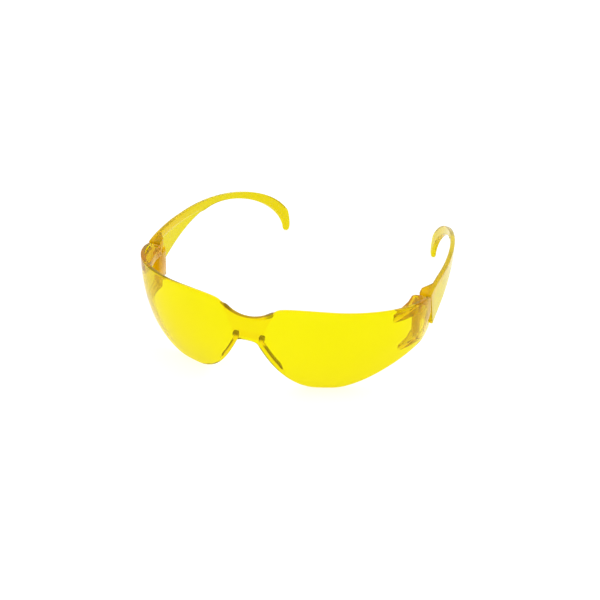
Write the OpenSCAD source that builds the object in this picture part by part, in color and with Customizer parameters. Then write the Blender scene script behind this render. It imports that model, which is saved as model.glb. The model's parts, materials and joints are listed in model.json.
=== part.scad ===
// Frameless wrap-around safety glasses: a one-piece tinted shield with two folding temples.
// X runs across the face, -Y is the front of the shield, +Z is up.
// Z = 0 is the table the open glasses stand on, at the middle of their footprint.

/* [Shield] */
// Thickness of the moulded shield
shield_t = 2; // [1.8:0.1:2.4]
// Vertical radius of the shield's outer face
bulge_r = 94; // [80:1:120]
// Lean of the shield, top edge forward, in degrees
shield_lean = 6; // [3:0.5:8]
// Height of the shield's equator above the table
equator_z = 31; // [28:0.5:33]
// Height of the bridge's top edge at the middle
bridge_top = 35.8; // [35:0.1:37]
// Height of the nose arch at the middle
nose_top = 24.1; // [23.5:0.1:25]
// Length of the straight resting edge under each lobe
rest_w = 6; // [4:0.5:8]

/* [Nose and brow] */
// How far the nose flanges stand behind the shield
nose_flange_depth = 1.6; // [1.4:0.1:3]
// Thickness of the nose flanges and the brow lip
flange_t = 2; // [1.6:0.1:2.4]
// How far the ends of the brow lip stand behind the shield
brow_lip_depth = 1.4; // [1:0.1:2]
// Half the width of the brow lip
lip_end = 11.8; // [10:0.1:13]

/* [Hinges] */
// Distance of each hinge axis from the middle plane
hinge_x = 62.2; // [61.9:0.1:62.2]
// Distance of the hinge axes behind the shield's apex
hinge_y = 43.4; // [43.3:0.1:43.6]
// Radius of the hinge pins
pin_r = 0.85; // [0.75:0.05:0.9]
// Radial running clearance of a temple's knuckle on its pin
pin_clear = 0.06; // [0.02:0.01:0.1]
// Interference of a pin in the shield's lugs
pin_press = 0.01; // [0:0.01:0.02]
// Radius of the round end of a lug
lug_r = 2.4; // [2.2:0.1:2.6]
// Thickness of the upper lug
upper_lug_t = 4.2; // [3.5:0.1:4.5]
// Thickness of the lower lug
lower_lug_t = 3.2; // [2.8:0.1:3.6]

/* [Temples] */
// Thickness of a temple's web
web_t = 1.5; // [1.3:0.1:1.7]
// Thickness of a temple's top rib and of its ear hook
rib_t = 2.2; // [1.9:0.1:2.6]
// Height of the top rib
rib_h = 4; // [3:0.5:5]
// Radius of the temple's inward sweep, seen from above
sweep_r = 180; // [170:1:190]
// Gap between the shield's end and the temple's front edge
end_gap = 0.4; // [0.35:0.05:0.6]

/* [Hidden] */
$fn = 128;
steps = 14;          // curve segments in one outline stretch
over = 60;           // overshoot of cutting solids
bury = 0.5;          // depth to which flanges and lugs are rooted in the shield
// Plan of the shield's outer face: four tangent arcs from the middle to each end
front_r = 95;
front_turn = 22;
corner_r = 61;
corner_turn = 28;
end_r = 35;
end_turn = 37;
tail_r = 300;
tail_turn = 4;
splice = 0.5;        // every other arc runs this many degrees into its neighbours
splice_step = 0.03;  // and lies this far inside them, so that they all join as one solid
shield_end = 46.8;   // where the shield's ends are cut off at their top, behind the apex
end_slant = 0.4;     // and how far the cut moves back for each unit of height below that
end_top = 37.1;      // height of the top corner of the shield's ends
end_low = 19.4;      // height below which the lower corner is rounded
corner_start = [42, 15.2];    // and where that rounding begins, in the side view
half_w = 68;         // half of the overall width
depth = 160;         // overall depth, apex to ear hooks
apex_y = -0.38;      // the apex leans this far forward of the equator
hook_y = depth + apex_y;
rest_x = 31;         // middle of each lobe's straight resting edge
nose_corner = [4.8, 22.9];    // where the nose arch meets the sides of the nose cut
flange_low = 9;      // the nose flanges end at this height
stub_z = [21, 25];   // straight part of the stubs at the top of the nose flanges
stub_extra = 0.4;    // and how much wider than the flanges they are
seat_z = 37.4;       // top of the upper lugs
foot_z = 17;         // underside of the lower lugs
lug_toe = [56.4, 21];         // plan points of the lugs' inner side, from the front
lug_waist = [58.4, 30];
knuckle_gap = 0.2;   // end play of a knuckle between its lugs
knuckle_r = 1.6;
temple_x = half_w - 0.2;      // a temple's outer face at the hinge
sweep_y = 66;        // where the inward sweep begins
root_x = 62.2;       // inner face of a temple's thick front
root_deep = 51;      // which tapers from here
root_tail = 57;      // to the web's thickness here
arm_inner = 50;      // the knuckle's arm runs back to here on its inner side
arm_root = 54;       // and reaches the thick front's inner face here
shield_color = [0.97, 0.92, 0.1];
temple_color = [0.93, 0.75, 0.2];
pin_color = [0.9, 0.8, 0.35];

// A cubic Bezier curve through four control points, without its last point
function bezier(a, b, c, d) = [for (i = [0:steps - 1]) let (t = i / steps, u = 1 - t)
    u * u * u * a + 3 * u * u * t * b + 3 * u * t * t * c + t * t * t * d];
// Unit direction at each point of an open outline
function along(p) = [for (i = [0:len(p) - 1])
    let (d = p[min(i + 1, len(p) - 1)] - p[max(i - 1, 0)]) d / norm(d)];
// The outline moved sideways by a distance, to the left of its direction
function aside(p, w) = let (d = along(p)) [for (i = [0:len(p) - 1]) p[i] + w * [-d[i].y, d[i].x]];
function reverse(p) = [for (i = [len(p) - 1:-1:0]) p[i]];
// The other half of an outline that runs from the middle line, in the order that continues it
function mirrored(p) = [for (q = reverse(p)) [-q.x, q.y]];

// How far behind the apex a shield's end lies at a height
function end_at(z) = shield_end + end_slant * (end_top - z);

// Front view of the shield, right half: x across, y up
bridge_edge = bezier([0, bridge_top], [6, bridge_top], [9.5, 38.2], [13.5, 41]);
brow_edge = bezier([13.5, 41], [17, 42.9], [34, 42.8], [74, 38.6]);
arch_edge = bezier([0, nose_top], [2.4, nose_top], nose_corner + [-1, 1], nose_corner);
rest_start = [rest_x - rest_w / 2, 0];
nose_edge = concat(bezier(nose_corner, [8.6, 15.6], [16, 0], rest_start), [rest_start]);
cheek_edge = bezier([rest_x + rest_w / 2, 0], [42, 0], [49.5, 4], [74, 18.9]);
// Side view of the shield: x to the rear, y up
temple_top_edge = bezier([8, 41.8], [20, 40.2], [35, 39.8], [shield_end, end_top]);
temple_low_edge = bezier([24, 6.4], [29, 11.1], [34, 15], corner_start);
corner_edge = bezier(corner_start, [49.5, 15.3], [end_at(end_low - 3), end_low - 3], [end_at(end_low), end_low]);

half_outline = concat(bridge_edge, brow_edge, [[74, 38.6], [74, 18.9]], reverse(cheek_edge), reverse(nose_edge),
                      reverse(arch_edge));
module front_outline() polygon(concat(half_outline, mirrored(half_outline)));

module side_outline()
    polygon(concat([[-over, 60]], temple_top_edge, [[shield_end, end_top], [end_at(end_low), end_low]],
                   reverse(corner_edge), reverse(temple_low_edge), [[6, -12], [-over, -12]]));

// Vertical section of a layer that lies between two depths behind the outer face of a plan radius r
module layer_section(r, outer, inner)
    intersection() {
        translate([r - 28, -40]) square([29, 80]);
        difference() {
            translate([r - bulge_r, 0]) circle(bulge_r - outer, $fn = 360);
            translate([r - bulge_r, 0]) circle(bulge_r - inner, $fn = 360);
        }
    }

module layer_arc(centre, r, from, turn, outer, inner)
    translate([centre.x, centre.y, 0]) rotate([0, 0, from]) rotate_extrude(angle = turn)
        layer_section(r, outer, inner);

function arc_centre(centre, r_old, r_new, turned) = centre + (r_old - r_new) * [sin(turned), -cos(turned)];

// The right side of a layer of the wrap-around surface, past the middle arc
module layer_wing(outer, inner) {
    front_c = [0, front_r];
    corner_c = arc_centre(front_c, front_r, corner_r, front_turn);
    end_c = arc_centre(corner_c, corner_r, end_r, front_turn + corner_turn);
    layer_arc(corner_c, corner_r, front_turn - 90 - splice, corner_turn + 2 * splice,
              outer + splice_step, inner - splice_step);
    layer_arc(end_c, end_r, front_turn + corner_turn - 90, end_turn, outer, inner);
    tail_from = front_turn + corner_turn + end_turn;
    layer_arc(arc_centre(end_c, end_r, tail_r, tail_from), tail_r, tail_from - 90 - splice * end_r / tail_r,
              tail_turn, outer + splice_step, inner - splice_step);
}

// A layer of the leaning wrap-around surface, between two depths behind its outer face
module layer(outer, inner)
    translate([0, 0, equator_z]) rotate([shield_lean, 0, 0]) {
        layer_arc([0, front_r], front_r, -90 - front_turn, 2 * front_turn, outer, inner);
        layer_wing(outer, inner);
        mirror([1, 0, 0]) layer_wing(outer, inner);
    }

// An outline of the front view made solid along Y, and one of the side view along X
module through_front() translate([0, over * 2, 0]) rotate([90, 0, 0]) linear_extrude(over * 3) children();
module through_side() translate([-over * 1.5, 0, 0]) rotate([90, 0, 90]) linear_extrude(over * 3) children();

module shield_skin()
    intersection() {
        layer(0, shield_t);
        through_front() front_outline();
        through_side() side_outline();
    }

// Wall along one side of the nose cut, with a round stub at its top
module nose_flange()
    intersection() {
        layer(bury, shield_t + nose_flange_depth);
        through_front() {
            cut = [for (p = nose_edge) if (p.y > flange_low) p];
            polygon(concat(cut, reverse(aside(cut, flange_t))));
            stub_w = flange_t + stub_extra;
            translate([nose_corner.x, stub_z[0]]) square([stub_w, stub_z[1] - stub_z[0]]);
            translate([nose_corner.x + stub_w / 2, stub_z[1]]) circle(stub_w / 2);
        }
    }

// Lip behind the bridge's top edge, hollowed to clear the brow
module brow_lip() {
    half_brow = [for (p = bridge_edge) if (p.x < lip_end) p];
    brow = concat(mirrored(half_brow), half_brow);
    difference() {
        intersection() {
            layer(bury, shield_t + brow_lip_depth);
            through_front() polygon(concat(brow, reverse(aside(brow, -flange_t))));
        }
        translate([0, apex_y + shield_t + 0.4 + 44, 0]) cylinder(r = 44, h = over);
    }
}

// Plan of a hinge lug: a shelf along the shield that ends round the pin
module lug_plan() {
    polygon([lug_toe, lug_waist, [hinge_x - lug_r, 38], [hinge_x - lug_r, hinge_y], [hinge_x, hinge_y],
             [hinge_x, hinge_y + lug_r], [70, hinge_y + lug_r], [70, lug_toe.y]]);
    translate([hinge_x, hinge_y]) circle(lug_r);
}

module lug(low, height)
    intersection() {
        layer(bury, 14);
        translate([0, 0, low]) linear_extrude(height) lug_plan();
    }

module pin_hole(r) translate([hinge_x, hinge_y, 0]) cylinder(r = r, h = over);

module shield_side()
    difference() {
        union() {
            nose_flange();
            lug(seat_z - upper_lug_t, upper_lug_t);
            lug(foot_z, lower_lug_t);
        }
        pin_hole(pin_r - pin_press);
    }

// Side view of a temple: x to the rear, y up
temple_crest = concat(bezier([shield_end, seat_z + 0.3], [52, 39.3], [64, 39.4], [80, 38.4]),
                      bezier([80, 38.4], [115, 37.6], [147.5, 31], [hook_y - 1.2, 12]),
                      bezier([hook_y - 1.2, 12], [hook_y - 0.3, 8], [hook_y, 6], [hook_y, 3]));
tip_edge = concat(bezier([hook_y, 3], [hook_y, 1], [hook_y - 0.4, 0], [hook_y - 1.2, 0]),
                  bezier([hook_y - 1.2, 0], [hook_y - 2, 0], [hook_y - 2.4, 1], [hook_y - 2.4, 3]));
temple_keel = concat(bezier([46.4, 17.6], [64, 22.2], [86, 32.4], [106, 32.6]),
                     bezier([106, 32.6], [126, 32.4], [153, 20], [hook_y - 2.4, 3]));

module temple_outline()
    difference() {
        polygon(concat(temple_crest, tip_edge, reverse(temple_keel)));
        polygon([[0, 0], [end_at(0) + end_gap, 0], [end_at(over) + end_gap, over], [0, over]]);
    }

module rib_outline()
    difference() {
        temple_outline();
        translate([0, -rib_h]) polygon(concat([for (p = temple_crest) if (p.x < 112) p], [[112, 0], [0, 0]]));
    }

// Plan of a temple's outer face with a thickness behind it: straight, then swept inward
module temple_plan(t) {
    translate([temple_x - t, hinge_y]) square([t, sweep_y - hinge_y]);
    intersection() {
        translate([temple_x - over, sweep_y]) square([over, 2 * over]);
        translate([temple_x - sweep_r, sweep_y]) difference() {
            circle(sweep_r, $fn = 720);
            circle(sweep_r - t, $fn = 720);
        }
    }
}

// Thick front of a temple, which tapers into the web
module root_plan()
    polygon([[root_x, shield_end], [root_x, root_deep], [temple_x - web_t, root_tail], [temple_x, root_tail], [temple_x, shield_end]]);

module knuckle_plan() {
    translate([hinge_x, hinge_y]) circle(knuckle_r);
    polygon([[hinge_x - knuckle_r, hinge_y], [hinge_x + knuckle_r, hinge_y], [hinge_x + knuckle_r, root_deep],
             [root_x, arm_root], [hinge_x - knuckle_r, arm_inner]]);
}

module temple() {
    low = foot_z + lower_lug_t + knuckle_gap;
    high = seat_z - upper_lug_t - knuckle_gap;
    difference() {
        union() {
            intersection() {
                linear_extrude(over) temple_plan(web_t);
                through_side() temple_outline();
            }
            intersection() {
                linear_extrude(over) temple_plan(rib_t);
                through_side() rib_outline();
            }
            intersection() {
                translate([0, 0, low]) linear_extrude(over) root_plan();
                through_side() temple_outline();
            }
            translate([0, 0, low]) linear_extrude(high - low) knuckle_plan();
        }
        pin_hole(pin_r + pin_clear);
    }
}

module hinge_pin()
    translate([hinge_x, hinge_y, foot_z + 0.3]) cylinder(r = pin_r, h = seat_z - foot_z - 0.6);

// Moves the apex-based design to the middle of its footprint, mirrored for the right side
module placed(side = 1) translate([0, -depth / 2 - apex_y, 0]) mirror([side < 0 ? 1 : 0, 0, 0]) children();

module front_shield() color(shield_color) placed() {
    shield_skin();
    brow_lip();
    shield_side();
    mirror([1, 0, 0]) shield_side();
}
module temple_left() color(temple_color) placed() temple();
module temple_right() color(temple_color) placed(-1) temple();
module hinge_pin_left() color(pin_color) placed() hinge_pin();
module hinge_pin_right() color(pin_color) placed(-1) hinge_pin();

front_shield();
temple_left();
temple_right();
hinge_pin_left();
hinge_pin_right();
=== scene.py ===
"""Looks of safety glasses with a tinted one-piece shield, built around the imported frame.

Lengths are in millimetres until finished() turns them into metres. The design frame, in which the
shapes are made, has x towards the wearer's left, y to the rear of the shield's apex, z up from the table.
"""
import json
import math

import bmesh
import bpy
import numpy as np
from mathutils import Matrix, Vector


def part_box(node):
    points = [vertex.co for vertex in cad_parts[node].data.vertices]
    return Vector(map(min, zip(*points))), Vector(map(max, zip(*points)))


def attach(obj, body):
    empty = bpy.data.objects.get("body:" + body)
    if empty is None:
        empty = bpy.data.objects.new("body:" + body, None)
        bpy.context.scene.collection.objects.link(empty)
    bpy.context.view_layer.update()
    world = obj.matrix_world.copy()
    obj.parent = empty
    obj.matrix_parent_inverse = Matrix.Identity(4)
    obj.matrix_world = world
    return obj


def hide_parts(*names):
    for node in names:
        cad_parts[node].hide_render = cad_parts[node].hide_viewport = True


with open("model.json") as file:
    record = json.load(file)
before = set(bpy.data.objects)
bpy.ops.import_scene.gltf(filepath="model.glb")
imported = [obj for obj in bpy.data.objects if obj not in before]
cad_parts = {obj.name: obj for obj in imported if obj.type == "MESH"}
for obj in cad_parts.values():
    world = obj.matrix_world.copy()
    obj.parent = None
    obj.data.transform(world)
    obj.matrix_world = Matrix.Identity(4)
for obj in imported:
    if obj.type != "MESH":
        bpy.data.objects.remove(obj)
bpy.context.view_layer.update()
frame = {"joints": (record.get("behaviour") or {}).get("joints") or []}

MM = 0.001


def box_mm(node):
    """Low and high corners of a node's box."""
    return [np.array(corner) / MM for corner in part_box(node)]


SHIELD_LOW = box_mm("front_shield")[0]
TEMPLE_HIGH = box_mm("temple_left")[1]
PIN_LOW, PIN_HIGH = box_mm("hinge_pin_left")
HINGE = np.array(next(j for j in frame["joints"] if j["child"] == "temple_left")["pos_m"]) / MM

# Shield, as in the CAD design
SHIELD_T = 2.0
BULGE_R = 94.0
LEAN = math.radians(6)
EQUATOR_Z = 31.0
# Radius and turn in degrees of each arc of the plan, from the middle to an end
PLAN_ARCS = ((95.0, 22.0), (61.0, 28.0), (35.0, 37.0), (300.0, 4.0))
APEX_LEAD = 0.38  # the leaning apex stands this far ahead of the equator
PLAN_Y = SHIELD_LOW[1] + APEX_LEAD
SHIELD_END = 46.8  # where the ends are cut off at their top
END_TOP, END_LOW = 37.1, 19.4
END_SLANT = 0.4  # the cut runs this much further back for each unit of height below
RIM_R = 0.45
CORNER_BLEND = 0.8  # rounds the corners where two edge curves meet
BRIDGE_EXTRA = 0.4  # the bridge is this much thicker than the lobes
CREASE_Z, CREASE_H = 25.5, 13.5  # foot and height of the crease on each side of the bridge
CREASE_X, CREASE_SPREAD = 6.2, 5.6  # its distance from the middle at the foot, and how much that grows
CREASE_BLEND = 1.6
# Bounds between which the cut ends' turns and the bottom and top edges' rises are looked for
END_TURNS = np.radians([50, 91])
BOTTOM_RISES, TOP_RISES = np.radians([-24, 2]), np.radians([-2, 14])
LEAN_FROM, LEAN_OVER = 52, 20  # degrees of turn over which mesh columns take on the ends' slant
BRIDGE_COLUMNS, FRONT_COLUMNS, END_COLUMNS, SHIELD_ROWS = 44, 112, 12, 44
BRIDGE_END_X, END_EASING = 14.0, math.radians(1.2)  # extent of the closest columns at the bridge and the ends

# Lip behind the bridge's top edge, flanges and stubs beside the nose
EDGE_LAP = 0.03  # ribs keep this far inside the shield's edge
LIP_X, LIP_W, LIP_ROUND = 11.7, 2.0, 1.6
LIP_DEPTH, LIP_GROWTH = 0.5, 0.0062  # depth in the middle, and its growth with the distance squared
NOSE_X, NOSE_Z = 4.86, 22.75  # where the arch turns down into the nose cut
FLANGE_LOW, FLANGE_FADE, FLANGE_W, FLANGE_DEPTH = 6.0, 5.0, 2.0, 1.35
STUB_TOP, STUB_LOW, STUB_ROUND = 26.2, 23.2, 1.2
STUB_WIDER, STUB_DEEPER = 0.4, 0.75  # than the flange
BURIED, RIB_CORNER = 0.7, 0.45  # how deep a rib's foot sits in the skin, and the rounding of its top

# Painted shade, where light passing far through the plastic or reflecting inside it would deepen the tint: 0
# plain, 0.5 golden, 1 brown
NOSE_REACH, LIP_REACH, LUG_FROM = 26.0, 12.2, 45.0  # distances from the middle
LIP_Z, STUB_Z = 28.0, 23.7  # the lip lies above the first, the stubs' round tops above the second
LINE_FROM_LEFT, LINE_FROM_RIGHT = 0.25, 0.9  # a flange's painted dark line starts this far from the nose cut
ONSET = 0.3  # depth or width over which the painted shade sets in
BAND_END, BAND_FADE = 100.0, 40.0  # where the painted shade along a temple's top edge ends, and over what it fades
HOOK_TINT_Y = 115.0  # the hook's painted shade sets in here
GOLD = 0.5
# Strengths of the painted shade at each place
RIM_PAINTED_SHADE, CREASE_PAINTED_SHADE, LUG_PAINTED_SHADE = 0.2, 0.4, 0.42
ROOT_PAINTED_SHADE, BAND_PAINTED_SHADE, HOOK_PAINTED_SHADE = 0.35, 0.14, 0.05

# Hinges
HINGE_X = HINGE[0]
HINGE_Y = HINGE[1] - PLAN_Y
PIN_R = (PIN_HIGH[0] - PIN_LOW[0]) / 2
PIN_RECESS = 0.3
SEAT_Z = PIN_HIGH[2] + PIN_RECESS
FOOT_Z = PIN_LOW[2] - PIN_RECESS
UPPER_LUG_T, LOWER_LUG_T = 4.2, 3.2
LUG_R = 2.4
LUG_TOE, LUG_WAIST, LUG_HEEL_Y = [56.4, 21.0], [58.4, 30.0], 38.0  # plan points of a lug's inner side
LUG_THIN = 1.2  # thickness at which the toe ends
LUG_TURNS = np.radians(np.linspace(40, 90, 61))
LUG_RISES = np.radians([-20, 12])
KNUCKLE_R = 1.6
KNUCKLE_GAP = 0.2
KNUCKLE_CLEAR = 0.06
KNUCKLE_INNER_Y, KNUCKLE_TAIL_Y = 50.0, 54.0  # where its inner and outer sides run into the root

# Temples
TEMPLE_X = TEMPLE_HIGH[0]
END_GAP = 0.4
ROOT_X = 62.2
ROOT_DEEP_Y, ROOT_TAIL_Y = 51.0, 57.4  # the root is thick up to the first and ends at the second
ROOT_TOP = 37.2
ROOT_CORNER, ROOT_EDGE, ROOT_CREST_EDGE = 0.7, 0.4, 0.5  # roundings of its plan, foot and top
ROOT_LAP = 0.04  # how far it keeps inside the web's outline
HOOK_Y = TEMPLE_HIGH[1] - PLAN_Y
WEB_T, RIB_T, RIB_H = 1.5, 2.2, 4.0
HOOK_RIB, HOOK_FROM, HOOK_OVER = 14.0, 92.0, 30.0  # the rib widens by the first to fill the hook
ARM_EDGE = 0.55
ARM_STATIONS, TIP_STEPS, ARM_STEPS = 110, 8, 34  # sections along the arm and round the tip, points up a face
SWEEP_R, SWEEP_Y = 180.0, 66.0

QUARTER = np.radians(np.linspace(0, 90, 5))  # steps of a rounded edge
SHARP_FROM = math.radians(38)  # edges that bend more than this stay sharp


# ---------------------------------------------------------------- curves
def bezier(a, b, c, d):
    t = np.linspace(0, 1, 24)[:, None]
    a, b, c, d = (np.array(p, float) for p in (a, b, c, d))
    return (1 - t) ** 3 * a + 3 * (1 - t) ** 2 * t * b + 3 * (1 - t) * t * t * c + t ** 3 * d


def joined(*curves):
    """Curves end to end, without repeating a shared point."""
    out = [np.atleast_2d(np.array(curves[0], float))]
    for curve in curves[1:]:
        curve = np.atleast_2d(np.array(curve, float))
        out.append(curve[1:] if np.allclose(curve[0], out[-1][-1]) else curve)
    return np.concatenate(out)


def end_at(z):
    """How far behind the apex a shield's end lies at a height."""
    return SHIELD_END + END_SLANT * (END_TOP - z)


# Front view, right half: (x, z)
BRIDGE_EDGE = bezier([0, 35.8], [6, 35.8], [9.5, 38.2], [13.5, 41])
BROW_EDGE = bezier([13.5, 41], [17, 42.9], [34, 42.8], [74, 38.6])
ARCH_EDGE = bezier([0, 24.1], [2.4, 24.1], [3.8, 23.9], [4.8, 22.9])
NOSE_EDGE = bezier([4.8, 22.9], [8.6, 15.6], [16, 0], [28, 0])
CHEEK_EDGE = bezier([34, 0], [42, 0], [49.5, 4], [74, 18.9])
FRONT_TOP = joined(BRIDGE_EDGE, BROW_EDGE)
FRONT_BOTTOM = joined(ARCH_EDGE, NOSE_EDGE, CHEEK_EDGE)
# Side view of the shield: (y, z)
SIDE_TOP = joined([[-60, 60]], bezier([8, 41.8], [20, 40.2], [35, 39.8], [SHIELD_END, END_TOP]))
TEMPLE_EDGE = bezier([24, 6.4], [29, 11.1], [34, 15], [42, 15.2])
CORNER_EDGE = bezier([42, 15.2], [49.5, 15.3], [end_at(END_LOW - 3), END_LOW - 3], [end_at(END_LOW), END_LOW])
SIDE_BOTTOM = joined([[-60, -12], [6, -12]], TEMPLE_EDGE, CORNER_EDGE)
SIDE_BOTTOM = SIDE_BOTTOM[:SIDE_BOTTOM[:, 0].argmax() + 1]
# Side view of a temple: (y, z)
CREST = joined(bezier([SHIELD_END, 37.7], [52, 39.3], [64, 39.4], [80, 38.4]),
               bezier([80, 38.4], [115, 37.6], [147.5, 31], [HOOK_Y - 1.2, 12]),
               bezier([HOOK_Y - 1.2, 12], [HOOK_Y - 0.3, 8], [HOOK_Y, 6], [HOOK_Y, 3]))
KEEL = joined(bezier([46.4, 17.6], [64, 22.2], [86, 32.4], [106, 32.6]),
              bezier([106, 32.6], [126, 32.4], [153, 20], [HOOK_Y - 2.4, 3]))
TIP_H = 3.0


def along(curve, value):
    """Second coordinate of a curve where its first is value."""
    return np.interp(value, curve[:, 0], curve[:, 1])


def smooth_step(x):
    x = np.clip(x, 0, 1)
    return x * x * (3 - 2 * x)


def soft_max(a, b):
    """The larger value, with the corner between the two rounded."""
    near = np.maximum(CORNER_BLEND - np.abs(a - b), 0) / CORNER_BLEND
    return np.maximum(a, b) + near * near * CORNER_BLEND / 4


def soft_min(a, b):
    return -soft_max(-a, -b)


# ---------------------------------------------------------------- shield surface
def plan_arc(turn):
    """Radius and centre of the plan arc that each turn (radians, 0 or more) lies on."""
    radius, cx, cy = np.empty_like(turn), np.empty_like(turn), np.empty_like(turn)
    x, y, start = 0.0, PLAN_ARCS[0][0], 0.0
    for k, (r, span) in enumerate(PLAN_ARCS):
        if k:
            step = PLAN_ARCS[k - 1][0] - r
            x, y = x + step * math.sin(start), y - step * math.cos(start)
        here = turn >= start
        radius[here], cx[here], cy[here] = r, x, y
        start += math.radians(span)
    return radius, cx, cy


def shield_point(turn, rise, depth=0.0):
    """Point at a turn along the plan and a rise up the bulge, a depth behind the outer face."""
    turn, rise, depth = (np.asarray(value, float) for value in (turn, rise, depth))
    turn, rise, depth = np.broadcast_arrays(turn, rise, depth)
    radius, cx, cy = plan_arc(np.abs(turn))
    reach = radius - BULGE_R + (BULGE_R - depth) * np.cos(rise)
    x = np.sign(turn) * cx + reach * np.sin(turn)
    y = cy - reach * np.cos(turn)
    z = (BULGE_R - depth) * np.sin(rise)
    return np.stack([x, y * math.cos(LEAN) - z * math.sin(LEAN),
                     y * math.sin(LEAN) + z * math.cos(LEAN) + EQUATOR_Z], -1)


def shield_normal(turn, rise):
    """Outward unit normal of the outer face."""
    return shield_point(turn, rise, 0.0) - shield_point(turn, rise, 1.0)


def shield_depth(points):
    """How far behind the outer face each point of the shield lies."""
    x, y, z = np.abs(points[:, 0]), points[:, 1], points[:, 2] - EQUATOR_Z
    flat = y * math.cos(LEAN) + z * math.sin(LEAN)
    rise = z * math.cos(LEAN) - y * math.sin(LEAN)
    turn = np.zeros(len(points))
    for _ in range(3):
        radius, cx, cy = plan_arc(turn)
        turn = np.arctan2(x - cx, cy - flat)
    reach = np.hypot(x - cx, cy - flat) - radius + BULGE_R
    return BULGE_R - np.hypot(reach, rise)


def solve(func, low, high):
    """Where an increasing func crosses 0 between low and high, by halving; arrays go together."""
    for _ in range(44):
        middle = (low + high) / 2
        above = func(middle) > 0
        high, low = np.where(above, middle, high), np.where(above, low, middle)
    return (low + high) / 2


def slanted(p):
    """Distance behind the apex, measured along the slant of the shield's ends."""
    return p[..., 1] + END_SLANT * (p[..., 2] - END_TOP)


def turn_for(goal, rise):
    """Turn in the end arcs at which the outer face meets a slanted plane."""
    low, high = (np.full(len(goal), turn) for turn in END_TURNS)
    return solve(lambda turn: slanted(shield_point(turn, rise)) - goal, low, high)


def spot(x, z):
    """Turn and rise of the outer face's point at x, z in the front view (front arc only)."""
    turn, rise = math.asin(x / PLAN_ARCS[0][0]), (z - EQUATOR_Z) / BULGE_R
    for _ in range(30):
        p = shield_point(turn, rise)
        turn += (x - p[0]) / PLAN_ARCS[0][0]
        rise += (z - p[2]) / BULGE_R
    return turn, rise


def top_at(p):
    """Height of the shield's top edge at points of its outer face."""
    return soft_min(along(FRONT_TOP, np.abs(p[..., 0])), along(SIDE_TOP, p[..., 1]))


def bottom_at(p):
    """Height of the shield's bottom edge at points of its outer face."""
    return soft_max(along(FRONT_BOTTOM, np.abs(p[..., 0])), along(SIDE_BOTTOM, p[..., 1]))


def column_turns():
    """Plan turns of the mesh columns: close together at the bridge and the ends."""
    end = turn_for([SHIELD_END - RIM_R], 0.0)[0]
    bridge_end = math.asin(BRIDGE_END_X / PLAN_ARCS[0][0])
    late = end - END_EASING
    easing = 1 - np.sin(np.linspace(0, math.pi / 2, END_COLUMNS))
    half = np.concatenate([np.linspace(0, bridge_end, BRIDGE_COLUMNS)[:-1],
                           np.linspace(bridge_end, late, FRONT_COLUMNS)[:-1],
                           end - (end - late) * easing])
    return np.concatenate([-half[:0:-1], half])


def crease_x(z):
    """Half width of the bridge's own surface, inside the faint crease on each side."""
    return CREASE_X + CREASE_SPREAD * (np.clip(z - CREASE_Z, 0, CREASE_H + 0.5) / CREASE_H) ** 1.5


def bridge_extra(p):
    """How much thicker the bridge is than the lobes."""
    return BRIDGE_EXTRA * smooth_step((crease_x(p[..., 2]) - np.abs(p[..., 0])) / CREASE_BLEND + 0.5)


def edge_rises(turns, count):
    """Rises at which each mesh column meets the shield's bottom and top edges."""
    def above_bottom(rise):
        p = shield_point(turns(rise), rise)
        return p[:, 2] - bottom_at(p)

    def above_top(rise):
        p = shield_point(turns(rise), rise)
        return p[:, 2] - top_at(p)

    low = solve(above_bottom, *(np.full(count, rise) for rise in BOTTOM_RISES))
    high = solve(above_top, *(np.full(count, rise) for rise in TOP_RISES))
    return low, high


def rim_inset(turns, rise):
    """Rise by which the outer face stops short of an edge, to leave room for the rounded rim."""
    slide = np.gradient(shield_point(turns(rise), rise), axis=0)
    run = np.linalg.norm(slide[:, :2], axis=1)
    return RIM_R * np.sqrt(1 + (slide[:, 2] / run) ** 2).clip(1, 4) / BULGE_R


def rim_loops(edge, normal, thick):
    """Loops that round the rim, from the outer face's edge to the inner face's."""
    out = np.cross(np.roll(edge, -1, 0) - np.roll(edge, 1, 0), normal)
    out /= np.linalg.norm(out, axis=1)[:, None]
    deep = (thick - RIM_R)[:, None]
    outer = [edge + RIM_R * (out * math.sin(a) - normal * (1 - math.cos(a))) for a in QUARTER[1:]]
    inner = [edge - normal * deep + RIM_R * (out * math.cos(a) - normal * math.sin(a)) for a in QUARTER[:-1]]
    return outer + inner


def grid_faces(grid, flip):
    """Quads over a grid of vertex numbers."""
    corners = (grid[:-1, :-1], grid[1:, :-1], grid[1:, 1:], grid[:-1, 1:])
    quads = np.stack(corners, -1).reshape(-1, 4)
    return (quads[:, ::-1] if flip else quads).tolist()


def loop_faces(loops):
    """Quads between neighbouring closed loops of vertex numbers."""
    faces = []
    for first, second in zip(loops, loops[1:]):
        corners = (np.roll(first, -1), first, second, np.roll(second, -1))
        faces += np.stack(corners, 1).tolist()
    return faces


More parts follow.
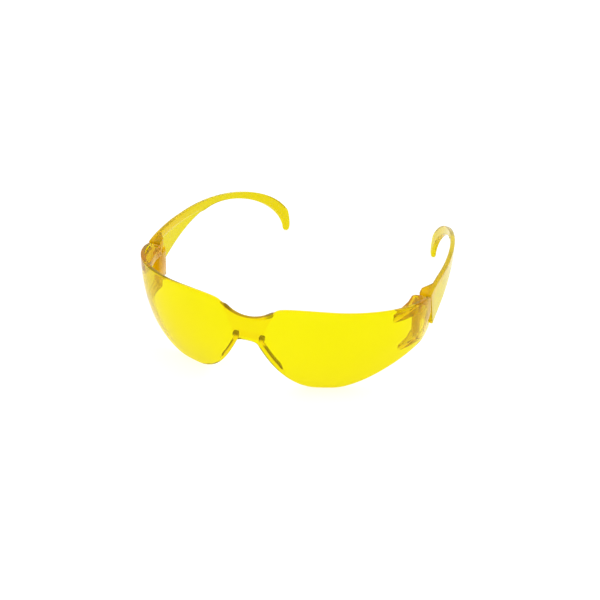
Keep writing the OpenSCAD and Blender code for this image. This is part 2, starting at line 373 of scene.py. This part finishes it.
def shield_shell():
    """The skin: two fine grids joined by a rounded rim."""
    nominal = column_turns()
    reach = np.abs(nominal)
    lean = smooth_step((np.degrees(reach) - LEAN_FROM) / LEAN_OVER)
    goal = slanted(shield_point(reach, 0.0))

    def turns(rise):
        return np.sign(nominal) * (reach + lean * (turn_for(goal, rise) - reach))

    low, high = edge_rises(turns, len(nominal))
    low, high = low + rim_inset(turns, low), high - rim_inset(turns, high)
    rise = np.linspace(low, high, SHIELD_ROWS, axis=1)
    turn = np.stack([turns(row) for row in rise.T], 1)
    outer, normal = shield_point(turn, rise), shield_normal(turn, rise)
    thick = SHIELD_T + bridge_extra(outer)
    inner = outer - normal * thick[..., None]

    grid = np.arange(rise.size).reshape(rise.shape)
    ring = np.concatenate([grid[:, 0], grid[-1, 1:], grid[-2::-1, -1], grid[0, -2:0:-1]])
    rim = rim_loops(outer.reshape(-1, 3)[ring], normal.reshape(-1, 3)[ring], thick.ravel()[ring])
    between = 2 * grid.size + np.arange(len(rim) * len(ring)).reshape(len(rim), -1)
    faces = grid_faces(grid, False) + grid_faces(grid.size + grid, True)
    faces += loop_faces([ring, *between, grid.size + ring])
    return np.concatenate([outer.reshape(-1, 3), inner.reshape(-1, 3)] + rim), faces


# ---------------------------------------------------------------- swept and extruded solids
def loft(rings):
    """A closed solid through rings of equal length, with flat ends."""
    loops = np.arange(len(rings) * len(rings[0])).reshape(len(rings), -1)
    ends = [loops[0].tolist(), loops[-1][::-1].tolist()]
    return np.concatenate(rings), loop_faces(loops) + ends


def sunk(outline, inset):
    """A plan outline moved inward by inset, its corners kept in step."""
    ahead, back = np.roll(outline, -1, 0) - outline, outline - np.roll(outline, 1, 0)
    ahead /= np.linalg.norm(ahead, axis=1)[:, None]
    back /= np.linalg.norm(back, axis=1)[:, None]
    n1, n2 = np.stack([-back[:, 1], back[:, 0]], 1), np.stack([-ahead[:, 1], ahead[:, 0]], 1)
    bend = (1 + (n1 * n2).sum(1)).clip(0.3)
    return outline + inset * (n1 + n2) / bend[:, None]


def level_ring(plan, z):
    """Plan points at one height."""
    return np.column_stack([plan, np.full(len(plan), z)])


def prism(outline, low, high, edge=0.35):
    """An upright prism of a counter-clockwise plan outline with rounded rims."""
    turns = np.radians(np.linspace(0, 90, 4))
    rims = [(sunk(outline, edge * (1 - math.sin(a))), edge * (1 - math.cos(a))) for a in turns]
    lower = [level_ring(plan, low + rise) for plan, rise in rims]
    upper = [level_ring(plan, high - drop) for plan, drop in reversed(rims)]
    return loft(lower + upper)


def rounded(points, radius):
    """A closed outline with every corner rounded."""
    points = np.array(points, float)
    out = []
    for k, p in enumerate(points):
        before, after = points[k - 1] - p, points[(k + 1) % len(points)] - p
        reach = min(radius, 0.45 * np.linalg.norm(before), 0.45 * np.linalg.norm(after))
        start = p + before / np.linalg.norm(before) * reach
        stop = p + after / np.linalg.norm(after) * reach
        for t in np.linspace(0, 1, 5):
            out.append((1 - t) ** 2 * start + 2 * t * (1 - t) * p + t * t * stop)
    return np.array(out)


def hinge_circle(radius, start=0.0, stop=360.0, count=64):
    """Plan points about the hinge axis."""
    a = np.radians(np.linspace(start, stop, count, endpoint=stop - start < 360))
    return np.column_stack([HINGE_X + radius * np.cos(a), HINGE_Y + radius * np.sin(a)])


def lathe(profile):
    """A solid of revolution about the hinge axis; profile is (radius, z) from axis to axis."""
    return loft([level_ring(hinge_circle(max(radius, 0.01)), z) for radius, z in profile])


def bar(path, outs, normals, widths, depths):
    """A rib on the shield's inner face: its outer side runs along path, its top stands depths behind."""
    rings = []
    for p, out, n, w, d in zip(path, outs, normals, widths, depths):
        r = min(RIB_CORNER, 0.4 * w, 0.9 * (d + 0.01))
        foot, top = SHIELD_T - BURIED, SHIELD_T + d
        near = [(r - r * math.cos(a), top - r + r * math.sin(a)) for a in QUARTER]
        far = [(w - r + r * math.sin(a), top - r + r * math.cos(a)) for a in QUARTER]
        section = [(0, foot)] + near + far + [(w, foot)]
        rings.append(np.array([p - out * side - n * depth for side, depth in section]))
    return loft(rings)


def edge_frame(points_xz):
    """Points, outward directions and normals of the outer face along a front-view line."""
    spots = [spot(x, z) for x, z in points_xz]
    path = np.array([shield_point(t, r) for t, r in spots])
    normals = np.array([shield_normal(t, r) for t, r in spots])
    tangent = np.gradient(path, axis=0)
    outs = np.cross(tangent, normals)
    return path, outs / np.linalg.norm(outs, axis=1)[:, None], normals


def resampled(curve, count):
    """A curve as points at even distances."""
    length = np.concatenate([[0], np.cumsum(np.linalg.norm(np.diff(curve, axis=0), axis=1))])
    at = np.linspace(0, length[-1], count)
    return np.column_stack([np.interp(at, length, curve[:, k]) for k in range(curve.shape[1])])


def brow_lip():
    """Lip behind the bridge's top edge, deepest at its two ends."""
    half = BRIDGE_EDGE[BRIDGE_EDGE[:, 0] < LIP_X]
    line = resampled(joined(half[::-1], half[1:] * [-1, 1]), 60)
    line[:, 1] -= EDGE_LAP
    path, outs, normals = edge_frame(line)
    reach = np.abs(line[:, 0])
    near_end = np.clip((reach - reach.max() + LIP_ROUND) / LIP_ROUND, 0, 1)
    taper = np.sqrt(np.clip(1 - near_end ** 2, 0.02, 1))
    return bar(path, outs, normals, LIP_W * taper, (LIP_DEPTH + LIP_GROWTH * reach ** 2) * taper)


def nose_flange(side):
    """Wall along one side of the nose cut with a taller round stub at its top."""
    cut = NOSE_EDGE[NOSE_EDGE[:, 1] > FLANGE_LOW]
    line = resampled(joined([[NOSE_X, STUB_TOP], [NOSE_X, NOSE_Z]], cut[1:]), 90)
    line[:, 0] += EDGE_LAP
    line = line if side > 0 else line[::-1]
    path, outs, normals = edge_frame(line * [side, 1])
    z = line[:, 1]
    near_top = np.clip((z - STUB_TOP + STUB_ROUND) / STUB_ROUND, 0, 1)
    cap = np.sqrt(np.clip(1 - near_top ** 2, 0.03, 1))
    fade = smooth_step((z - FLANGE_LOW) / FLANGE_FADE)
    stub = smooth_step((z - STUB_LOW) / 0.35)
    depths = (FLANGE_DEPTH + STUB_DEEPER * stub) * np.maximum(fade, 0.02) * (0.4 + 0.6 * cap)
    widths = (FLANGE_W + STUB_WIDER * stub) * (0.35 + 0.65 * fade) * cap
    shift = (1 - cap) * STUB_ROUND
    return bar(path - outs * shift[:, None], outs, normals, widths, depths)


def lug(low, height):
    """Shelf from the shield's inner face to the hinge pin, round about the pin."""
    z = low + height / 2
    rise = solve(lambda rise: shield_point(LUG_TURNS, rise, SHIELD_T / 2)[..., 2] - z,
                 *(np.full(len(LUG_TURNS), bound) for bound in LUG_RISES))
    skin = shield_point(LUG_TURNS, rise, SHIELD_T / 2)[:, :2]
    rear = HINGE_Y + LUG_R
    inner = np.array([LUG_TOE, LUG_WAIST, [HINGE_X - LUG_R, LUG_HEEL_Y]])
    thick = skin[:, 0] - np.interp(skin[:, 1], inner[:, 1], inner[:, 0])
    skin = skin[(skin[:, 1] > LUG_TOE[1]) & (skin[:, 1] < rear) & (thick > LUG_THIN)]
    side_y = np.linspace(skin[0, 1], LUG_HEEL_Y, 12)
    side = np.column_stack([np.interp(side_y, inner[:, 1], inner[:, 0]), side_y])
    heel = hinge_circle(LUG_R, 180, 90, 24)
    outline = np.concatenate([skin, [[skin[-1, 0], rear]], heel[::-1], side[::-1]])
    return prism(outline, low, low + height)


def front_cut(curve):
    """The part of a temple's edge behind the gap at the shield's slanted end."""
    back = curve[:, 0] - end_at(curve[:, 1]) - END_GAP
    first = int(np.argmax(back > 0))
    share = back[first - 1] / (back[first - 1] - back[first])
    start = curve[first - 1] + share * (curve[first] - curve[first - 1])
    return np.concatenate([[start], curve[first:]])


def arm_edges():
    """Crest and keel points of a temple's sections, closing together round the hook's tip."""
    crest = resampled(front_cut(CREST), ARM_STATIONS)
    keel = resampled(front_cut(KEEL), ARM_STATIONS)
    tip = np.radians(np.linspace(0, 90, TIP_STEPS + 1))[1:, None]
    middle, half = (crest[-1] + keel[-1]) / 2, (crest[-1] - keel[-1]) / 2
    narrow = np.maximum(np.cos(tip), 0.05) * half
    tip_middle = middle - np.sin(tip) * [0, TIP_H]
    return np.concatenate([crest, tip_middle + narrow]), np.concatenate([keel, tip_middle - narrow])


def arm_section(top, foot, near_tip):
    """A section's ring: up the outer face and down the inner one, thick in the rib, with rounded edges."""
    share = (1 - np.cos(np.linspace(0, math.pi, ARM_STEPS))) / 2
    height = np.linalg.norm(top - foot)
    up = share * height
    rib = RIB_H + HOOK_RIB * smooth_step((top[0] - HOOK_FROM) / HOOK_OVER)
    thick = WEB_T + (RIB_T - WEB_T) * smooth_step((up - height + rib) / 1.2 + 0.5)
    edge = min(ARM_EDGE, 0.45 * height)
    gap = np.clip(edge - np.minimum(up, height - up), 0, edge)
    recess = edge - np.sqrt(edge ** 2 - gap ** 2)
    recess += (0.5 * RIB_T - recess) * (1 - math.sqrt(max(1 - near_tip ** 2, 0.04)))
    line = foot + (top - foot) * share[:, None]
    outer = np.column_stack([temple_face(line[:, 0], recess), line])
    inner = np.column_stack([temple_face(line[:, 0], thick - recess), line])
    return np.concatenate([outer, inner[::-1]])


def temple_shell():
    """Web, rib and ear hook: sections swept from the root to the hook's tip."""
    crest, keel = arm_edges()
    near_tip = np.maximum(np.arange(len(crest)) - ARM_STATIONS + 1, 0) / TIP_STEPS
    return loft([arm_section(*place) for place in zip(crest, keel, near_tip)])


def temple_face(y, depth):
    """x of a temple's face at y, a depth inside its outer face: straight, then swept inward."""
    swept = np.maximum(y - SWEEP_Y, 0)
    return TEMPLE_X - SWEEP_R + np.sqrt((SWEEP_R - depth) ** 2 - swept ** 2)


def knuckle_levels():
    """Heights of the knuckle's foot and top, a gap away from the lugs."""
    return FOOT_Z + LOWER_LUG_T + KNUCKLE_GAP, SEAT_Z - UPPER_LUG_T - KNUCKLE_GAP


def temple_root():
    """Thick front of a temple, tapering into the web."""
    low = knuckle_levels()[0]
    rings = []
    for rise in np.sin(QUARTER):
        rings.append(root_ring(low + ROOT_EDGE * rise, ROOT_EDGE * (1 - math.sqrt(1 - (1 - rise) ** 2))))
    for z in np.linspace(low + 1, ROOT_TOP - 0.7, 12):
        rings.append(root_ring(z, 0))
    for a in QUARTER:
        ring = root_ring(ROOT_TOP, ROOT_CREST_EDGE * (1 - math.cos(a)))
        ring[:, 2] = along(CREST, ring[:, 1]) - ROOT_LAP - ROOT_CREST_EDGE * (1 - math.sin(a))
        rings.append(ring)
    return loft(rings)


def root_ring(z, inset):
    """Plan of the root at a height, its front edge on the slant of the shield's end."""
    front = end_at(z) + END_GAP + ROOT_LAP
    outer, web = TEMPLE_X - 0.8, TEMPLE_X - WEB_T
    inner = ROOT_X + np.clip((front - ROOT_DEEP_Y) / 6, 0, 0.9) * (web - ROOT_X)
    back = max(ROOT_DEEP_Y, front + 0.4)
    tail = [[outer, ROOT_TAIL_Y + 1], [web + 0.1, ROOT_TAIL_Y]]
    corners = [[inner, front], [outer, front], *tail, [inner, back]]
    return level_ring(sunk(rounded(corners, ROOT_CORNER), inset), z)


def knuckle():
    """Round block that turns on the pin, joined to the root."""
    low, high = knuckle_levels()
    inner, outer = HINGE_X - KNUCKLE_R, HINGE_X + KNUCKLE_R
    tail = [[outer, ROOT_DEEP_Y], [ROOT_X + 0.6, KNUCKLE_TAIL_Y], [inner, KNUCKLE_INNER_Y]]
    return prism(np.concatenate([hinge_circle(KNUCKLE_R, 180, 360, 32), tail]), low, high, edge=0.25)


def hinge_pin():
    """Straight pin with rounded ends."""
    low, high, edge = PIN_LOW[2], PIN_HIGH[2], 0.25
    bevel = [(PIN_R - edge + edge * math.sin(a), low + edge * (1 - math.cos(a))) for a in QUARTER]
    half = [(0, low), (PIN_R / 2, low)] + bevel
    return lathe(half + [(r, low + high - z) for r, z in reversed(half)])


# ---------------------------------------------------------------- meshes
def mesh_piece(name, solid, side=1):
    """A mesh object in the part's frame, still in millimetres; side -1 mirrors it to the wearer's right."""
    points, faces = solid
    points = (np.array(points) + [0, PLAN_Y, 0]) * [side, 1, 1]
    mesh = bpy.data.meshes.new(name)
    mesh.from_pydata(points.tolist(), [], faces)
    work = bmesh.new()
    work.from_mesh(mesh)
    bmesh.ops.remove_doubles(work, verts=work.verts, dist=1e-4)
    bmesh.ops.recalc_face_normals(work, faces=work.faces)
    work.to_mesh(mesh)
    work.free()
    piece = bpy.data.objects.new(name, mesh)
    bpy.context.scene.collection.objects.link(piece)
    return piece


def combined(piece, others, operation):
    """Joins other solids to a piece, or cuts them from it, into one closed mesh."""
    for other in others:
        change = piece.modifiers.new("join", "BOOLEAN")
        change.operation, change.object, change.solver = operation, other, "MANIFOLD"
        graph = bpy.context.evaluated_depsgraph_get()
        mesh = bpy.data.meshes.new_from_object(piece.evaluated_get(graph))
        piece.modifiers.clear()
        old, piece.data = piece.data, mesh
        bpy.data.meshes.remove(old)
        bpy.data.objects.remove(other, do_unlink=True)
    return piece


def store_painted_shade(piece, shade_weights):
    """Stores how much painted shade each vertex gets, for the material."""
    store = piece.data.attributes.new("painted_shade", "FLOAT", "POINT")
    store.data.foreach_set("value", np.asarray(shade_weights, np.float32))


def vertices(piece):
    """Vertices of a piece in the design frame."""
    points = np.empty(len(piece.data.vertices) * 3)
    piece.data.vertices.foreach_get("co", points)
    return points.reshape(-1, 3) - [0, PLAN_Y, 0]


def finished(piece, material, body, node):
    """A piece in metres, smooth up to its sharp edges, with its material, body and replaced node."""
    piece.data.transform(Matrix.Scale(MM, 4))
    piece.data.materials.clear()
    piece.data.materials.append(material)
    for polygon in piece.data.polygons:
        polygon.use_smooth = True
    piece.data.set_sharp_from_angle(angle=SHARP_FROM)
    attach(piece, body)
    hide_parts(node)
    return piece


def bore(radius):
    """A cutter along the hinge axis, past both lugs."""
    low, high = FOOT_Z - 1, SEAT_Z + 1
    return lathe([(0, low), (radius, low), (radius, high), (0, high)])


def lip_painted_shade(depth, x, z, behind):
    """Painted shade on the lip and the skin's edge before it, darker towards the two ends."""
    ends = np.clip((x - 7) / 2, 0, 1)
    near_top = np.clip((z - along(BRIDGE_EDGE, x) + 0.5) / 0.25, 0, 1) * (depth > ONSET)
    edge = 0.85 * near_top * np.where(depth < SHIELD_T + ONSET, 1, 0.4 + 0.6 * ends)
    lip = (z > LIP_Z) * behind * (GOLD + 0.4 * ends)
    return (x < LIP_REACH) * np.maximum(edge, lip)


def nose_painted_shade(points, x, z, behind):
    """Painted shade on the stubs' round tops, and a painted dark line along each flange, wider on the
    wearer's left.
    """
    cut = resampled(NOSE_EDGE, 120)
    from_cut = np.hypot(x[:, None] - cut[:, 0], z[:, None] - cut[:, 1]).min(1)
    # The painted dark line starts nearer the cut on the wearer's left, so that side shows more painted shade
    start = np.where(points[:, 0] > 0, LINE_FROM_LEFT, LINE_FROM_RIGHT)
    cut_top = NOSE_EDGE[0, 1]
    wall = np.clip((from_cut - start) / ONSET, 0, 1) * np.clip((cut_top - z) / 2, 0.35, 1)
    stub = GOLD + (1 - GOLD) * np.clip((z - STUB_Z) / ONSET, 0, 1)
    return (x < NOSE_REACH) * (z < LIP_Z) * behind * np.where(z > cut_top, stub, wall)


def shield_painted_shade(points):
    """Painted shade at the shield's rim, crease, lip, nose flanges, stubs and lugs: how much each vertex
    gets.
    """
    depth, x, z = shield_depth(points), np.abs(points[:, 0]), points[:, 2]
    behind = np.clip((depth - SHIELD_T - ONSET) / ONSET, 0, 1)
    # Painted shade: darker rim faces, a dark line along each crease, and darker lugs
    rim = np.clip((np.minimum(depth, SHIELD_T - depth) - 0.04) / 0.2, 0, 1)
    crease = (z > STUB_Z) * (depth > SHIELD_T / 2) * np.exp(-((x - crease_x(z)) / 0.4) ** 2)
    lugs = (x > LUG_FROM) * behind
    return np.max([RIM_PAINTED_SHADE * rim, CREASE_PAINTED_SHADE * crease, LUG_PAINTED_SHADE * lugs,
                   lip_painted_shade(depth, x, z, behind), nose_painted_shade(points, x, z, behind)], axis=0)


def make_shield(material):
    piece = mesh_piece("shield", shield_shell())
    parts = [mesh_piece("lip", brow_lip())]
    for side in (1, -1):
        parts.append(mesh_piece("flange", nose_flange(side)))
        parts.append(mesh_piece("upper_lug", lug(SEAT_Z - UPPER_LUG_T, UPPER_LUG_T), side))
        parts.append(mesh_piece("lower_lug", lug(FOOT_Z, LOWER_LUG_T), side))
    combined(piece, parts, "UNION")
    combined(piece, [mesh_piece("bore", bore(PIN_R + 0.02), side) for side in (1, -1)], "DIFFERENCE")
    store_painted_shade(piece, shield_painted_shade(vertices(piece)))
    return finished(piece, material, "front", "front_shield")


def temple_painted_shade(points):
    """Painted shade at a temple's root, knuckle, top edge and hook: how much each vertex gets."""
    x, y, z = np.abs(points[:, 0]), points[:, 1], points[:, 2]
    root = np.clip((ROOT_TAIL_Y + 0.6 - y) / 3, 0, 1) * np.clip((TEMPLE_X - 0.4 - x) / 0.6, 0, 1)
    below_crest = along(CREST, y) - z
    band = smooth_step((RIB_H + 1 - below_crest) / 2) * smooth_step((BAND_END - y) / BAND_FADE)
    hook = smooth_step((y - HOOK_TINT_Y) / (HOOK_Y - HOOK_TINT_Y))
    return np.max([ROOT_PAINTED_SHADE * root, BAND_PAINTED_SHADE * band, HOOK_PAINTED_SHADE * hook], axis=0)


def make_temple(name, side, material):
    piece = mesh_piece(name + "_arm", temple_shell(), side)
    parts = [mesh_piece("root", temple_root(), side), mesh_piece("knuckle", knuckle(), side)]
    combined(piece, parts, "UNION")
    combined(piece, [mesh_piece("bore", bore(PIN_R + KNUCKLE_CLEAR), side)], "DIFFERENCE")
    store_painted_shade(piece, temple_painted_shade(vertices(piece)))
    return finished(piece, material, name, name)


def make_pin(name, side, material):
    return finished(mesh_piece(name + "_rod", hinge_pin(), side), material, "front", name)


# ---------------------------------------------------------------- materials
def shader_node(tree, kind, **values):
    """A new node; each value goes to its input or property of that name."""
    made = tree.nodes.new(kind)
    for key, value in values.items():
        if key in made.inputs:
            made.inputs[key].default_value = value
        else:
            setattr(made, key, value)
    return made


def noise(tree, place, **values):
    """Noise over a piece's own space, so that it stays with the piece when it moves."""
    made = shader_node(tree, "ShaderNodeTexNoise", **values)
    tree.links.new(place, made.inputs["Vector"])
    return made.outputs["Fac"]


def ramp(tree, source, first, last, start=0.0, stop=1.0):
    """Colours from first to last while source goes from start to stop."""
    made = tree.nodes.new("ShaderNodeValToRGB")
    for element, colour, position in zip(made.color_ramp.elements, (first, last), (start, stop)):
        element.color = (*colour, 1)
        element.position = position
    tree.links.new(source, made.inputs["Fac"])
    return made.outputs["Color"]


def map_range(tree, source, from_range, to_range):
    """The source moved from one range to another, held at the ends."""
    made = tree.nodes.new("ShaderNodeMapRange")
    for end, value, result in zip(("Min", "Max"), from_range, to_range):
        made.inputs["From " + end].default_value = value
        made.inputs["To " + end].default_value = result
    tree.links.new(source, made.inputs["Value"])
    return made.outputs["Result"]


def tint(tree, place, light, dark, gold, brown):
    """A faintly uneven colour, with painted shade that turns it golden and then brown as the stored value
    grows.
    """
    flow = noise(tree, place, Scale=38.0, Detail=3.0, Roughness=0.5)
    painted_shade = shader_node(tree, "ShaderNodeAttribute", attribute_name="painted_shade").outputs["Fac"]
    shade = shader_node(tree, "ShaderNodeMix", data_type="RGBA")
    plain_in, shaded_in = [i for i in shade.inputs if i.type == "RGBA"]
    tree.links.new(map_range(tree, painted_shade, (0.0, GOLD), (0.0, 1.0)), shade.inputs[0])
    tree.links.new(ramp(tree, flow, dark, light, 0.3, 0.7), plain_in)
    tree.links.new(ramp(tree, painted_shade, gold, brown, GOLD, 1.0), shaded_in)
    return next(o for o in shade.outputs if o.type == "RGBA")


def rub_marks(tree, place, rough):
    """Roughness between two values in fine specks."""
    specks = noise(tree, place, Scale=420.0, Detail=4.0, Roughness=0.6)
    return map_range(tree, specks, (0.35, 0.8), rough)


def moulding_ripples(tree, place):
    """Faint waves of the moulded surface, as a normal."""
    bump = shader_node(tree, "ShaderNodeBump", Strength=0.12, Distance=0.0003)
    tree.links.new(noise(tree, place, Scale=110.0, Detail=1.0, Roughness=0.4), bump.inputs["Height"])
    return bump.outputs["Normal"]


def clear_to_shadows(tree, surface):
    """The surface, except that lamps shine straight through it."""
    clear = shader_node(tree, "ShaderNodeBsdfTransparent", Color=(1, 1, 1, 1))
    path = tree.nodes.new("ShaderNodeLightPath")
    mix = tree.nodes.new("ShaderNodeMixShader")
    tree.links.new(path.outputs["Is Shadow Ray"], mix.inputs[0])
    tree.links.new(surface, mix.inputs[1])
    tree.links.new(clear.outputs[0], mix.inputs[2])
    return mix.outputs[0]


def polycarbonate(name, light, dark, gold, brown, rough, per_metre, clarity, ior):
    """Clear tinted plastic, with painted shade in gold and brown; per_metre is how fast it absorbs red, green
    and blue.
    """
    mat = bpy.data.materials.new(name)
    mat.use_nodes = True
    tree = mat.node_tree
    tree.nodes.clear()
    place = tree.nodes.new("ShaderNodeTexCoord").outputs["Object"]

    plastic = tree.nodes.new("ShaderNodeBsdfPrincipled")
    plastic.inputs["Transmission Weight"].default_value = clarity
    plastic.inputs["IOR"].default_value = ior
    tree.links.new(tint(tree, place, light, dark, gold, brown), plastic.inputs["Base Color"])
    tree.links.new(rub_marks(tree, place, rough), plastic.inputs["Roughness"])
    tree.links.new(moulding_ripples(tree, place), plastic.inputs["Normal"])

    density = max(per_metre)
    body = shader_node(tree, "ShaderNodeVolumeAbsorption", Density=density)
    body.inputs["Color"].default_value = (*[1 - k / density for k in per_metre], 1)
    out = tree.nodes.new("ShaderNodeOutputMaterial")
    tree.links.new(clear_to_shadows(tree, plastic.outputs[0]), out.inputs["Surface"])
    tree.links.new(body.outputs[0], out.inputs["Volume"])
    return mat


def shield_plastic():
    return polycarbonate("shield_plastic", light=(0.875, 0.87, 0.01), dark=(0.86, 0.855, 0.006),
                         gold=(0.82, 0.58, 0.004), brown=(0.06, 0.025, 0.001), rough=(0.0, 0.03),
                         per_metre=(18.0, 55.0, 1200.0), clarity=0.88, ior=1.14)


def temple_plastic():
    return polycarbonate("temple_plastic", light=(0.82, 0.78, 0.02), dark=(0.8, 0.76, 0.015),
                         gold=(0.9, 0.54, 0.004), brown=(0.4, 0.2, 0.01), rough=(0.01, 0.05),
                         per_metre=(40.0, 85.0, 1100.0), clarity=0.68, ior=1.15)


def pin_plastic():
    return polycarbonate("pin_plastic", light=(0.82, 0.76, 0.02), dark=(0.8, 0.74, 0.015),
                         gold=(0.9, 0.54, 0.004), brown=(0.4, 0.2, 0.01), rough=(0.01, 0.05),
                         per_metre=(40.0, 85.0, 1100.0), clarity=0.7, ior=1.15)


def floor_material():
    """Pale and slightly self-lit, so that shadows burn out to white."""
    mat = bpy.data.materials.new("pale_table")
    mat.use_nodes = True
    tree = mat.node_tree
    plain = tree.nodes["Principled BSDF"]
    plain.inputs["Roughness"].default_value = 0.8
    plain.inputs["Specular IOR Level"].default_value = 0.1
    plain.inputs["Emission Color"].default_value = (1, 1, 1, 1)
    plain.inputs["Emission Strength"].default_value = 0.6
    grain = shader_node(tree, "ShaderNodeTexNoise", Scale=3.0).outputs["Fac"]
    tree.links.new(ramp(tree, grain, (0.49, 0.49, 0.49), (0.51, 0.51, 0.51)), plain.inputs["Base Color"])
    return mat


# ---------------------------------------------------------------- stage
def make_floor():
    mesh = bpy.data.meshes.new("table")
    reach = 6.0
    corners = [(-reach, -reach, 0), (reach, -reach, 0), (reach, reach, 0), (-reach, reach, 0)]
    mesh.from_pydata(corners, [], [(0, 1, 2, 3)])
    floor = bpy.data.objects.new("table", mesh)
    bpy.context.scene.collection.objects.link(floor)
    mesh.materials.append(floor_material())


def area_light(name, place, size, power):
    """A round soft light aimed at the glasses."""
    data = bpy.data.lights.new(name, "AREA")
    data.shape, data.size, data.energy = "DISK", size, power
    light = bpy.data.objects.new(name, data)
    bpy.context.scene.collection.objects.link(light)
    light.location = place
    light.rotation_euler = (-Vector(place)).to_track_quat("-Z", "Y").to_euler()


def make_light():
    world = bpy.data.worlds.new("studio")
    world.use_nodes = True
    world.node_tree.nodes["Background"].inputs["Color"].default_value = (1, 1, 1, 1)
    world.node_tree.nodes["Background"].inputs["Strength"].default_value = 1.0
    bpy.context.scene.world = world
    area_light("key", place=(-0.7, -0.5, 1.3), size=0.9, power=4.0)
    area_light("fill", place=(0.9, 0.4, 1.1), size=0.9, power=2.5)
    bpy.context.scene.view_settings.view_transform = "Standard"


def make_camera():
    """Above and to the wearer's left of the front, on a long lens."""
    azimuth, elevation, roll = math.radians(19.305), math.radians(28.263), math.radians(1.835)
    distance, target = 0.64, Vector((0.0, -0.0115, 0.0105))
    data = bpy.data.cameras.new("camera")
    data.sensor_width = 36.0
    data.lens = 81.47
    camera = bpy.data.objects.new("camera", data)
    bpy.context.scene.collection.objects.link(camera)
    back = Vector((math.sin(azimuth) * math.cos(elevation), -math.cos(azimuth) * math.cos(elevation),
                   math.sin(elevation)))
    turn = back.to_track_quat("Z", "Y").to_matrix() @ Matrix.Rotation(roll, 3, "Z")
    camera.matrix_world = Matrix.Translation(target + back * distance) @ turn.to_4x4()
    bpy.context.scene.camera = camera


make_shield(shield_plastic())
temple_tint, pin_tint = temple_plastic(), pin_plastic()
for side_name, side_sign in (("left", 1), ("right", -1)):
    make_temple("temple_" + side_name, side_sign, temple_tint)
    make_pin("hinge_pin_" + side_name, side_sign, pin_tint)
make_floor()
make_light()
make_camera()
